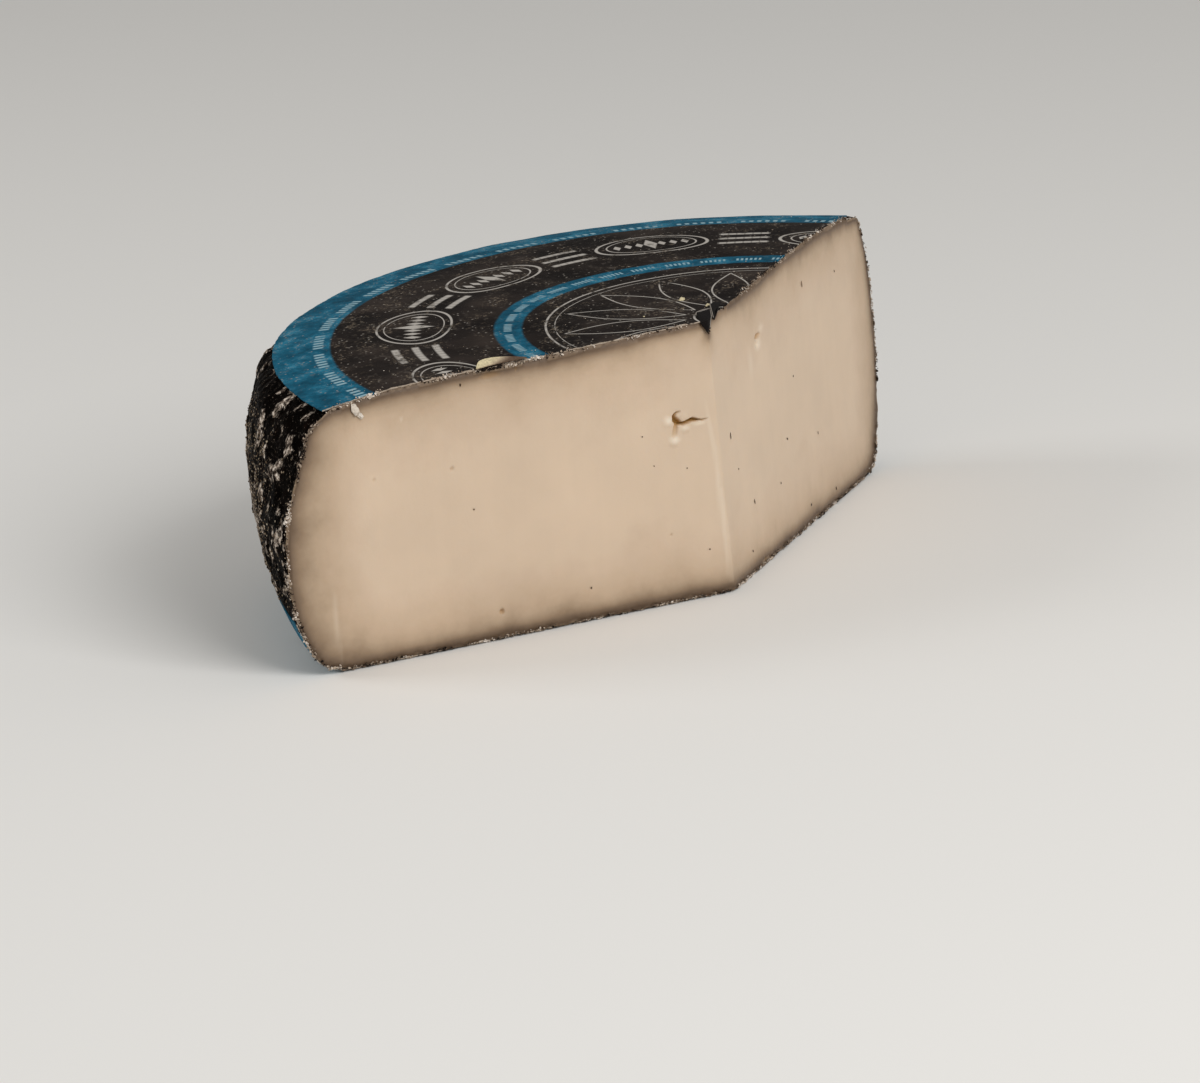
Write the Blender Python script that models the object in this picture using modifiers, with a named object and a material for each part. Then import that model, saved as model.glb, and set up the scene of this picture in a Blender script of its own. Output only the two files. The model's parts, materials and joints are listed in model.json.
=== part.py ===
# A goat's milk cheese wheel with a black rind, cut down to a piece of a little over a third.
# Two cuts meet near the middle of the wheel. A round paper label covers each flat side.
import math

import bmesh
import bpy
from mathutils import Matrix, Vector, noise

# Driving dimensions, in metres and degrees
label_radius = 0.118         # the top label, out to the edge of its outer ring
wheel_height = 0.0721        # at the middle of the top, without the labels
edge_drop = 0.0032           # how far the top falls from its middle to the label's edge
barrel_radius = 0.1262       # the widest part of the rind, away from the cuts
barrel_curve = 8.2           # how fast the rind pulls in above and below its widest part, per metre
widest_height = 0.0424       # height of the widest part
corner_radius = 0.0091       # rounding from the rind into the top and the underside
crown_angle = 76.0           # degrees from level at which the rounding meets the top
crown_start = 1.012          # where it meets the top, in label radii
cut_angle = 69.7             # each cut, measured from the piece's own middle line
paper = 0.0005               # thickness of a label
gap = 0.0003                 # clear space between a label and the cheese under it
under_label_rise = 0.0150    # height on the rind that the lower label reaches

# The top leans: the wheel is thicker towards one side
lean = 0.0442                # rise for each metre along the lean
lean_heading = 39.5          # degrees from +X

# The rind springs outwards beside each cut. On the left this dies away towards the top.
spring_left = 0.0110
spring_right = 0.0104
spring_right_top = 0.0074
spring_spread_left = 33.0    # degrees of rind that the spring reaches back from the cut
spring_spread_right = 35.0
spring_peak = 2.0            # degrees past the cut at which the spring is full
spring_flare = 0.6           # how much faster the spring grows close to the cut
cut_away = 25.0              # degrees past a cut beyond which nothing of the wheel is kept
spring_from = (0.75, 0.99)   # where the spring starts at the underside and at the top, in label radii
spring_over = (0.24, 0.05)   # the stretch over which it then grows, in label radii
shoulder_lift = 0.0030       # how much the top edge stands up beside the right cut

# The corner where the cuts meet, from the middle of the label: at the top and at the underside
corner_top = Vector((-0.0074, 0.0022))
corner_bottom = Vector((-0.0038, -0.0003))

# Unevenness of a hand-made wheel
wave_size = 0.055            # long, soft waves all over
wave_height = 0.0007
bump_size = 0.011            # short bumps on the bare rind
bump_height = 0.0009
bump_offset = Vector((3.1, 7.7, 1.3))
bump_edge = 0.985            # the bumps begin here, in label radii
bump_blend = 0.004
bump_foot = 0.010            # no bumps below this height, where the lower label lies on the rind
bump_rise = 0.012

# Facets
turn_steps = 144             # round the whole wheel
label_rings = 10             # rings of facets from the middle to the label's edge
side_rings = 9
corner_rings = 4
under_label_rings = 3

# The tear beside the corner, on the left cut: places along the cut from the corner, and heights
tear_line = [(0.0022, 0.0466), (0.0040, 0.0470), (0.0058, 0.0476), (0.0080, 0.0472), (0.0100, 0.0467),
             (0.0114, 0.0475), (0.0116, 0.0488), (0.0104, 0.0498)]
tear_width = [0.0001, 0.0003, 0.0006, 0.0005, 0.0005, 0.0005, 0.0003, 0.0001]
tear_depth = 0.0045
scoop_place = (0.0132, 0.0443)    # the shallow hollow under the tear
scoop_size = (0.0021, 0.0034, 0.0016)

# Small holes in the paste: which cut, distance along it, height, radius
holes = [
    ("right", 0.0384, 0.0593, 0.0011),
    ("left", 0.0775, 0.0464, 0.0007),
    ("left", 0.0683, 0.0071, 0.0009),
    ("left", 0.0994, 0.0473, 0.0006),
    ("right", 0.0789, 0.0649, 0.0006),
]

# The sliver broken off the upper part of the corner
chip_foot = 0.030            # height where the chip begins
chip_left = 0.0027           # how far it has eaten into each cut at the top
chip_right = 0.0009

chip_box = (0.030, 0.070, 0.012)    # the slab that takes the sliver off

# The nick that goes down into the corner from the top
nick_place = 0.0015          # how far along the right cut it sits
nick_width = 0.0022
nick_depth = 0.0042
nick_length = 1.3            # its length into the cheese, in widths
nick_foot = 0.3              # its width at the bottom, as a share of that at the top
nick_above = 0.004           # how far its cutter stands above the top

for old in list(bpy.data.objects):
    bpy.data.objects.remove(old, do_unlink=True)

part_set = bpy.data.collections.new("goat_cheese")
cutter_set = bpy.data.collections.new("cutters")
bpy.context.scene.collection.children.link(part_set)
bpy.context.scene.collection.children.link(cutter_set)


def smooth(value):
    """0 to 1 with a soft start and end"""
    t = min(max(value, 0.0), 1.0)
    return t * t * (3.0 - 2.0 * t)


def top_height(radius):
    return wheel_height - edge_drop * (radius / label_radius) ** 6


def barrel(height):
    return barrel_radius - barrel_curve * (height - widest_height) ** 2


def barrel_tilt(height):
    """angle of the rind's outward normal above the horizontal"""
    return math.atan(2.0 * barrel_curve * (height - widest_height))


def corner_arc(centre, start, end, count):
    for i in range(count + 1):
        angle = start + (end - start) * i / count
        yield (centre[0] + corner_radius * math.cos(angle), centre[1] + corner_radius * math.sin(angle))


def upper_corner():
    """centre of the top rounding, the angles it runs between and the height where the rind takes over"""
    crown = math.radians(crown_angle)
    edge_height = top_height(label_radius * crown_start)
    height = edge_height - corner_radius
    for _ in range(8):
        tilt = barrel_tilt(height)
        height = edge_height - corner_radius * (math.sin(crown) - math.sin(tilt))
    centre = (barrel(height) - corner_radius * math.cos(tilt), height - corner_radius * math.sin(tilt))
    return centre, crown, tilt, height


def lower_corner(foot):
    """the same for the rounding into the underside, whose flat is at the height foot"""
    height = foot + corner_radius
    for _ in range(8):
        tilt = barrel_tilt(height)
        height = foot + corner_radius * (1.0 + math.sin(tilt))
    centre = (barrel(height) - corner_radius * math.cos(tilt), foot + corner_radius)
    return centre, tilt, height


def wheel_outline():
    """half outline of the whole wheel, from the middle of the top, down the rind, to the middle below"""
    foot = paper + gap
    points = [(label_radius * i / label_rings, top_height(label_radius * i / label_rings))
              for i in range(label_rings + 1)]
    centre, crown, tilt, upper = upper_corner()
    points += corner_arc(centre, crown, tilt, corner_rings)
    low_centre, low_tilt, lower = lower_corner(foot)
    for i in range(1, side_rings):
        height = upper + (lower - upper) * i / side_rings
        points.append((barrel(height), height))
    points += corner_arc(low_centre, low_tilt, -math.pi / 2.0, corner_rings)
    flat = low_centre[0]
    points += [(flat * i / label_rings, foot) for i in range(label_rings - 1, -1, -1)]
    return points


def lower_path(offset):
    """the lower rind, from the end of the flat up to the lower label's edge, moved out by offset"""
    centre, tilt, height = lower_corner(paper + gap)
    reach = corner_radius + offset
    for i in range(corner_rings + 1):
        angle = -math.pi / 2.0 + (tilt + math.pi / 2.0) * i / corner_rings
        yield (centre[0] + reach * math.cos(angle), centre[1] + reach * math.sin(angle))
    for i in range(1, under_label_rings + 1):
        level = height + (under_label_rise - height) * i / under_label_rings
        slope = barrel_tilt(level)
        yield (barrel(level) + offset * math.cos(slope), level + offset * math.sin(slope))


def top_label_outline():
    radii = [label_radius * i / label_rings for i in range(label_rings + 1)]
    upper = [(r, top_height(r) + gap + paper) for r in radii]
    lower = [(r, top_height(r) + gap) for r in reversed(radii)]
    return upper + lower


def under_label_outline():
    """the lower label: flat below the cheese, then up round the lower corner of the rind"""
    flat = lower_corner(paper + gap)[0][0]
    inner = [(flat * i / label_rings, paper) for i in range(label_rings)] + list(lower_path(gap))
    outer = [(flat * i / label_rings, 0.0) for i in range(label_rings)] + list(lower_path(gap + paper))
    return inner + outer[::-1]


def spring_share(past_cut, spread):
    """how strongly the rind beside a cut has sprung: 1 at the cut, 0 at the far end of the spread"""
    share = min(max(1.0 + (past_cut - spring_peak) / spread, 0.0), 1.1)
    return share * share * (1.0 + spring_flare - spring_flare * share)


def sprung(angle, height):
    """how far the rind has sprung out beside the two cuts, and how much its shoulder is lifted"""
    if 90.0 + cut_angle + cut_away < angle < 450.0 - cut_angle - cut_away:
        return 0.0, 0.0
    past_left = angle - 90.0 - cut_angle
    past_right = 90.0 - cut_angle - (angle if angle < 270.0 else angle - 360.0)
    share_left = spring_share(past_left, spring_spread_left)
    share_right = spring_share(past_right, spring_spread_right)
    level = min(height / wheel_height, 1.0)
    fade_left = math.cos(math.pi / 2.0 * level) ** 2
    reach_right = spring_right + (spring_right_top - spring_right) * level
    return share_left * spring_left * fade_left + share_right * reach_right, share_right * shoulder_lift


def uneven(point):
    """moves a point of the true round wheel to its place on the real, uneven one"""
    radius = math.hypot(point.x, point.y)
    if radius < 1e-6:
        angle = 90.0
        way = Vector((0.0, 1.0))
    else:
        angle = math.degrees(math.atan2(point.y, point.x)) % 360.0
        way = Vector((point.x, point.y)) / radius
    share = point.z / wheel_height
    # the underside spreads from well inside, the top only past the label
    upper = smooth(share * 1.4 - 0.3)
    start = label_radius * (spring_from[0] + (spring_from[1] - spring_from[0]) * upper)
    reach = label_radius * (spring_over[0] + (spring_over[1] - spring_over[0]) * upper)
    spring, lift = sprung(angle, point.z)
    spread = smooth((radius - start) / reach)
    wave = noise.noise(Vector(point) / wave_size) * wave_height
    bare = smooth((radius - label_radius * bump_edge) / bump_blend)
    bare *= smooth((point.z - bump_foot) / bump_rise)
    bump = noise.noise(Vector(point) / bump_size + bump_offset) * bump_height * bare
    # the middle of the flat sides stays put sideways, and the rind moves in full
    side = smooth(2.0 * radius / barrel_radius - 1.0)
    moved = way * (radius + spring * spread + (wave + bump) * side)
    heading = math.radians(lean_heading)
    slope = Vector((math.cos(heading), math.sin(heading))) * lean
    rise = slope.dot(moved) + wave * (1.0 - 0.5 * side) + bump * 0.5
    rise += lift * spread * smooth(share * 2.0 - 1.0)
    return Vector((moved.x, moved.y, point.z + rise * smooth(share) ** 0.5 * min(share * 1.2, 1.0)))


def turned(name, outline):
    """a round body from its half outline, then made uneven"""
    mesh = bpy.data.meshes.new(name)
    edges = [(i, i + 1) for i in range(len(outline) - 1)]
    mesh.from_pydata([(r, 0.0, z) for r, z in outline], edges, [])
    body = bpy.data.objects.new(name, mesh)
    part_set.objects.link(body)
    screw = body.modifiers.new("turned", "SCREW")
    screw.axis = "Z"
    screw.angle = math.radians(360.0)
    screw.steps = turn_steps
    screw.render_steps = turn_steps
    screw.use_merge_vertices = True
    screw.merge_threshold = 0.00001
    screw.use_normal_calculate = False
    bake(body)
    for vertex in body.data.vertices:
        vertex.co = uneven(vertex.co.copy())
    body.data.update()
    return body


def bake(body):
    """replaces an object's mesh by what its modifiers make of it"""
    bpy.context.view_layer.update()
    graph = bpy.context.evaluated_depsgraph_get()
    mesh = bpy.data.meshes.new_from_object(body.evaluated_get(graph))
    body.modifiers.clear()
    body.data = mesh


def outward(shape):
    """turns all faces of a closed shape outwards"""
    shape.normal_update()
    bmesh.ops.recalc_face_normals(shape, faces=shape.faces)
    if shape.calc_volume(signed=True) < 0.0:
        bmesh.ops.reverse_faces(shape, faces=shape.faces)


def hide(cutter):
    cutter.hide_render = True
    cutter.display_type = "WIRE"


def cutter_from(name, build):
    """a hidden mesh object whose shape the function build makes"""
    mesh = bpy.data.meshes.new(name)
    shape = bmesh.new()
    build(shape)
    outward(shape)
    shape.to_mesh(mesh)
    shape.free()
    cutter = bpy.data.objects.new(name, mesh)
    cutter_set.objects.link(cutter)
    hide(cutter)
    return cutter


def way_of(side):
    angle = math.radians(90.0 + cut_angle if side == "left" else 90.0 - cut_angle)
    return Vector((math.cos(angle), math.sin(angle), 0.0))


def face_point(side, along, height, out_by=0.0):
    """a point of a cut: its distance from the corner, its height, and how far it stands out of the cut"""
    share = height / wheel_height
    foot = corner_bottom.lerp(corner_top, share)
    way = way_of(side)
    out = Vector((way.y, -way.x, 0.0)) if side == "right" else Vector((-way.y, way.x, 0.0))
    return Vector((foot.x, foot.y, height)) + way * along + out * out_by


def kept_sector():
    """the space between the two cuts, well past the wheel on every other side"""
    reach = 0.30
    below = -0.01
    above = 0.10

    def build(shape):
        bmesh.ops.create_cube(shape, size=1.0)
        for vertex in shape.verts:
            height = above if vertex.co.z > 0 else below
            side = "right" if vertex.co.x > 0 else "left"
            if vertex.co.y > 0:
                vertex.co = face_point(side, reach, height) + Vector((0.0, reach, 0.0))
            else:
                vertex.co = face_point(side, reach, height)

    cutter = cutter_from("kept_sector", build)
    add_corner(cutter, below, above)
    return cutter


def add_corner(cutter, below, above):
    """draws the sector's flat front back to the corner where the cuts meet"""
    shape = bmesh.new()
    shape.from_mesh(cutter.data)
    front = min(shape.faces, key=lambda face: face.calc_center_median().y)
    level = [edge for edge in front.edges if abs(edge.verts[0].co.z - edge.verts[1].co.z) < 1e-4]
    middle = bmesh.ops.subdivide_edges(shape, edges=level, cuts=1)
    for item in middle["geom_inner"]:
        if isinstance(item, bmesh.types.BMVert):
            item.co = face_point("left", 0.0, above if item.co.z > 0.05 else below)
    outward(shape)
    shape.to_mesh(cutter.data)
    shape.free()


def tear():
    """the wavy slit, as a wedge that narrows inwards"""

    def build(shape):
        front = []
        back = []
        spots = [Vector(place) for place in tear_line]
        for sign in (1.0, -1.0):
            line = []
            inner = []
            for i, (spot, width) in enumerate(zip(spots, tear_width)):
                run = (spots[min(i + 1, len(spots) - 1)] - spots[max(i - 1, 0)]).normalized()
                edge = Vector((-run.y, run.x)) * width * sign
                line.append(shape.verts.new(face_point("left", *(spot + edge), 0.002)))
                inner.append(shape.verts.new(face_point("left", *(spot + edge * 0.2), -tear_depth)))
            front.append(line)
            back.append(inner)
        last = len(tear_line) - 1
        for i in range(last):
            for quad in ((front[0][i], front[0][i + 1], front[1][i + 1], front[1][i]),
                         (back[0][i], back[1][i], back[1][i + 1], back[0][i + 1]),
                         (front[0][i], back[0][i], back[0][i + 1], front[0][i + 1]),
                         (front[1][i], front[1][i + 1], back[1][i + 1], back[1][i])):
                shape.faces.new(quad)
        for i in (0, last):
            shape.faces.new((front[0][i], front[1][i], back[1][i], back[0][i]))

    return cutter_from("tear", build)


def ball(name, side, place, size):
    """a flattened ball sunk in a cut: half its depth goes into the paste"""
    way = way_of(side)
    out = face_point(side, 0.0, 0.0, 1.0) - face_point(side, 0.0, 0.0)
    axes = Matrix((way, Vector((0.0, 0.0, 1.0)), out)).transposed().to_4x4()
    spot = Matrix.Translation(face_point(side, place[0], place[1]))

    def build(shape):
        sized = Matrix.Diagonal((size[0], size[1], size[2], 1.0))
        bmesh.ops.create_icosphere(shape, subdivisions=2, radius=1.0, matrix=spot @ axes @ sized)

    return cutter_from(name, build)


def chip():
    """a slab that takes the sliver off the upper corner"""
    foot = face_point("left", 0.0, chip_foot)
    left = face_point("left", chip_left, wheel_height)
    right = face_point("right", chip_right, wheel_height)
    across = (right - left).normalized()
    up = ((left + right) / 2.0 - foot).normalized()
    out = across.cross(up).normalized()
    if out.y > 0.0:
        out = -out

    def build(shape):
        frame = Matrix((across, up, out)).transposed().to_4x4()
        spot = Matrix.Translation(foot + up * chip_box[1] / 2.0 + out * chip_box[2] / 2.0)
        bmesh.ops.create_cube(shape, size=1.0, matrix=spot @ frame @ Matrix.Diagonal((*chip_box, 1.0)))

    return cutter_from("chip", build)


def nick():
    """a pointed nick in the top of the corner"""
    top = face_point("right", nick_place, wheel_height)
    inward = (way_of("left") + way_of("right")).normalized()
    side = Vector((-inward.y, inward.x, 0.0))

    def build(shape):
        bmesh.ops.create_cone(shape, cap_ends=True, segments=3, radius1=1.0, radius2=0.05, depth=1.0)
        for vertex in shape.verts:
            high = vertex.co.z < 0.0
            across = vertex.co.x * nick_width * (1.0 if high else nick_foot)
            deep = vertex.co.y * nick_width * nick_length
            height = nick_above if high else -nick_depth
            vertex.co = top + side * across + inward * deep + Vector((0.0, 0.0, height))

    return cutter_from("nick", build)


def cut(body, cutter, operation, solver="EXACT"):
    step = body.modifiers.new(cutter.name, "BOOLEAN")
    step.operation = operation
    step.solver = solver
    step.object = cutter
    bake(body)


def paint(body, name, colour, roughness):
    material = bpy.data.materials.new(name)
    material.use_nodes = True
    shader = material.node_tree.nodes["Principled BSDF"]
    shader.inputs["Base Color"].default_value = (*colour, 1.0)
    shader.inputs["Roughness"].default_value = roughness
    shader.inputs["Metallic"].default_value = 0.0
    body.data.materials.clear()
    body.data.materials.append(material)


def shade(body):
    body.data.shade_smooth()
    body.data.set_sharp_from_angle(angle=math.radians(32.0))


def stand_on_middle(bodies):
    """moves everything so that the middle of the piece's box is over the origin"""
    corners = [vertex.co for body in bodies for vertex in body.data.vertices]
    low = Vector((min(c[i] for c in corners) for i in range(3)))
    high = Vector((max(c[i] for c in corners) for i in range(3)))
    shift = Matrix.Translation((-(low.x + high.x) / 2.0, -(low.y + high.y) / 2.0, -low.z))
    for body in bodies:
        body.data.transform(shift)


sector = kept_sector()

# The cheese itself: paste and rind are one body. The exact solver loses the small marks on the
# long flat cuts, so those are taken out by the manifold one.
cheese = turned("cheese", wheel_outline())
cut(cheese, sector, "INTERSECT")
marks = [chip(), nick(), tear(), ball("scoop", "left", scoop_place, scoop_size)]
for number, (side, along, height, size) in enumerate(holes):
    marks.append(ball(f"hole_{number}", side, (along, height), (size, size * 0.8, size)))
for mark in marks:
    cut(cheese, mark, "DIFFERENCE", "MANIFOLD")
paint(cheese, "cheese_paste", (0.62, 0.47, 0.31), 0.55)

# The paper labels, above and below
label_top = turned("label_top", top_label_outline())
cut(label_top, sector, "INTERSECT")
cut(label_top, bpy.data.objects["nick"], "DIFFERENCE", "MANIFOLD")
paint(label_top, "black_paper", (0.03, 0.028, 0.03), 0.6)

label_bottom = turned("label_bottom", under_label_outline())
cut(label_bottom, sector, "INTERSECT")
paint(label_bottom, "blue_paper", (0.014, 0.16, 0.31), 0.6)

stand_on_middle([cheese, label_top, label_bottom])
for piece in (cheese, label_top, label_bottom):
    shade(piece)
for helper in list(cutter_set.objects):
    bpy.data.objects.remove(helper, do_unlink=True)
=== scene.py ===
import json
import math
import random

import bpy
from mathutils import Matrix, Vector, kdtree, noise

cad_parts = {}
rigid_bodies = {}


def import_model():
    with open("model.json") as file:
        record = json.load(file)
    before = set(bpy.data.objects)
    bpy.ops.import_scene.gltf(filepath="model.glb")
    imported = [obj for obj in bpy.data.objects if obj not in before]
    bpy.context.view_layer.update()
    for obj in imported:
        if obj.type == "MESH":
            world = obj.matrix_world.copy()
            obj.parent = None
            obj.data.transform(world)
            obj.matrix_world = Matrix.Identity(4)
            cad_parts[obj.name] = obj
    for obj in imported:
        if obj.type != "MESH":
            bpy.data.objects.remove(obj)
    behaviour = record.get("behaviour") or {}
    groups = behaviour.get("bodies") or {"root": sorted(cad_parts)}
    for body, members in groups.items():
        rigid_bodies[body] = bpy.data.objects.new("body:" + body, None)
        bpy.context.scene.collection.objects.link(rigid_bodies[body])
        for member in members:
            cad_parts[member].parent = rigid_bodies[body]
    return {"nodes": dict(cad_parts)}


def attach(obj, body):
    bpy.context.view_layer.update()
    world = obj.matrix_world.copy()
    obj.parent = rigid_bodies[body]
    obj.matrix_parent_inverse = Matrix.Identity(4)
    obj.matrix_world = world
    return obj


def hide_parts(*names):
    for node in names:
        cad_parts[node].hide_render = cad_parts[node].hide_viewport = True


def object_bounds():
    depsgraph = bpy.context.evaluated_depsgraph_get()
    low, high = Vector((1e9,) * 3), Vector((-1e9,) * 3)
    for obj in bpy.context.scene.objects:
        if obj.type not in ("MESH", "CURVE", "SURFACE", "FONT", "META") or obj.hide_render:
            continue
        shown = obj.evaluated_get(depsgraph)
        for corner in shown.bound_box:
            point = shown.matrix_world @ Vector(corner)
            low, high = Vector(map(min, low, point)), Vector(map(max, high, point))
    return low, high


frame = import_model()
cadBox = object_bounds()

# Where things are, in metres and degrees. Height zero is the surface that the cheese lies on.
wheel = {
    "centre": Vector((-0.0003, -0.0633, 0.0)),      # under the middle of the label
    "labelRadius": 0.118,
    "height": 0.0721,
    "cornerLow": Vector((-0.0041, -0.0636, 0.0)),   # where the two cuts meet, at the underside
    "cornerHigh": Vector((-0.0077, -0.0611, 0.0721)),
    "headings": {"left": 159.7, "right": 20.3},     # the way each cut runs, from +X
}


def faceAxes(side):
    # the way a cut runs, its slanting upright, and the way it looks
    heading = math.radians(wheel["headings"][side])
    along = Vector((math.cos(heading), math.sin(heading), 0.0))
    up = (wheel["cornerHigh"] - wheel["cornerLow"]).normalized()
    out = up.cross(along) if side == "right" else along.cross(up)
    return along, up, -out.normalized()


def facePoint(side, along, height, out=0.0):
    way, up, away = faceAxes(side)
    foot = wheel["cornerLow"].lerp(wheel["cornerHigh"], height / wheel["height"])
    return foot + way * along + away * out


def onFace(side, point):
    # the other way round: distance along the cut, height, and how far the point stands out of it
    way, up, away = faceAxes(side)
    foot = wheel["cornerLow"].lerp(wheel["cornerHigh"], point.z / wheel["height"])
    return (point - foot).dot(way), point.z, (point - foot).dot(away)


def smooth(value):
    share = min(max(value, 0.0), 1.0)
    return share * share * (3.0 - 2.0 * share)


# Modelling helpers

def takeUp(piece):
    # makes a piece the only one selected
    if bpy.context.mode != "OBJECT":
        bpy.ops.object.mode_set(mode="OBJECT")
    bpy.ops.object.select_all(action="DESELECT")
    piece.select_set(True)
    bpy.context.view_layer.objects.active = piece


def openMesh(piece, kind="FACE"):
    takeUp(piece)
    bpy.ops.object.mode_set(mode="EDIT")
    bpy.ops.mesh.select_mode(type=kind)
    bpy.ops.mesh.select_all(action="DESELECT")


def closeMesh():
    bpy.ops.object.mode_set(mode="OBJECT")


def pickFaces(piece, wanted):
    openMesh(piece)
    closeMesh()
    for face in piece.data.polygons:
        face.select = wanted(face)
    bpy.ops.object.mode_set(mode="EDIT")


def copyOf(node, name):
    # a merged copy of a solid of the frame, to be worked on
    piece = bpy.data.objects.new(name, frame["nodes"][node].data.copy())
    bpy.context.scene.collection.objects.link(piece)
    piece.data.materials.clear()
    takeUp(piece)
    bpy.ops.mesh.customdata_custom_splitnormals_clear()
    openMesh(piece)
    bpy.ops.mesh.select_all(action="SELECT")
    bpy.ops.mesh.remove_doubles(threshold=0.00002)
    bpy.ops.mesh.normals_make_consistent(inside=False)
    closeMesh()
    return piece


def finishWith(piece, kind, **settings):
    step = piece.modifiers.new(kind.lower(), kind)
    for key, value in settings.items():
        setattr(step, key, value)
    takeUp(piece)
    bpy.ops.object.modifier_apply(modifier=step.name)


def weigh(piece, name, weight):
    # a vertex group from a function of the vertex
    group = piece.vertex_groups.new(name=name)
    for vertex in piece.data.vertices:
        share = weight(vertex)
        if share > 0.0:
            group.add([vertex.index], share, "REPLACE")


def roughen(piece, group, kind, size, depth, **settings):
    # pushes the surface in and out by a pattern whose features are size metres wide
    texture = bpy.data.textures.new(piece.name + group + kind, kind)
    texture.noise_scale = size
    for key, value in settings.items():
        setattr(texture, key, value)
    finishWith(piece, "DISPLACE", texture=texture, strength=depth, mid_level=0.5, vertex_group=group)


def keepValue(piece, name, values):
    # a number on each vertex that a material reads
    attribute = piece.data.attributes.new(name, "FLOAT", "POINT")
    attribute.data.foreach_set("value", values)


# Materials

def colour(code):
    # an sRGB hex value as linear light
    parts = [int(code[i:i + 2], 16) / 255.0 for i in (1, 3, 5)]
    return tuple(p / 12.92 if p <= 0.04045 else ((p + 0.055) / 1.055) ** 2.4 for p in parts) + (1.0,)


def newMaterial(name):
    material = bpy.data.materials.new(name)
    material.use_nodes = True
    tree = material.node_tree
    return material, tree, tree.nodes["Principled BSDF"]


def add(tree, kind, links=None, **settings):
    # a node with its settings; links gives each input a socket or a value
    node = tree.nodes.new(kind)
    for key, value in settings.items():
        setattr(node, key, value)
    for key, value in (links or {}).items():
        if isinstance(value, bpy.types.NodeSocket):
            tree.links.new(value, node.inputs[key])
        else:
            node.inputs[key].default_value = value
    return node


def setRamp(node, stops, how="LINEAR"):
    ramp = node.color_ramp
    ramp.interpolation = how
    while len(ramp.elements) > 1:
        ramp.elements.remove(ramp.elements[-1])
    ramp.elements[0].position, ramp.elements[0].color = stops[0][0], colour(stops[0][1])
    for place, code in stops[1:]:
        ramp.elements.new(place).color = colour(code)
    return node


def mixColours(tree, share, first, second, how="MIX"):
    # share, first and second are each a socket or a fixed value
    node = add(tree, "ShaderNodeMix", data_type="RGBA", blend_type=how)
    for index, value in ((0, share), (6, first), (7, second)):
        if isinstance(value, bpy.types.NodeSocket):
            tree.links.new(value, node.inputs[index])
        else:
            node.inputs[index].default_value = colour(value) if isinstance(value, str) else value
    return node.outputs[2]


paste = {
    # colours of the paste by distance from the rind: the share of fadeWidth, and the colour there
    "fadeWidth": 24.0,      # mm
    "fade": [(0.0, "#97836b"), (0.016, "#84705b"), (0.036, "#5f4c3b"), (0.06, "#776350"), (0.09, "#8f7962"),
             (0.13, "#a48e76"), (0.18, "#b39c83"), (0.26, "#bea68d"), (0.36, "#c4ad94"), (0.55, "#cab39b"),
             (0.8, "#ceb8a0"), (1.0, "#cfb9a1")],
    # ochre of the torn paste, also standing in as painted shade inside the tear
    "tornInside": "#a97f42",
    # painted highlight colour, also used for a few pale spots of the paste
    "pale": "#e6d9c6",
}


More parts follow.
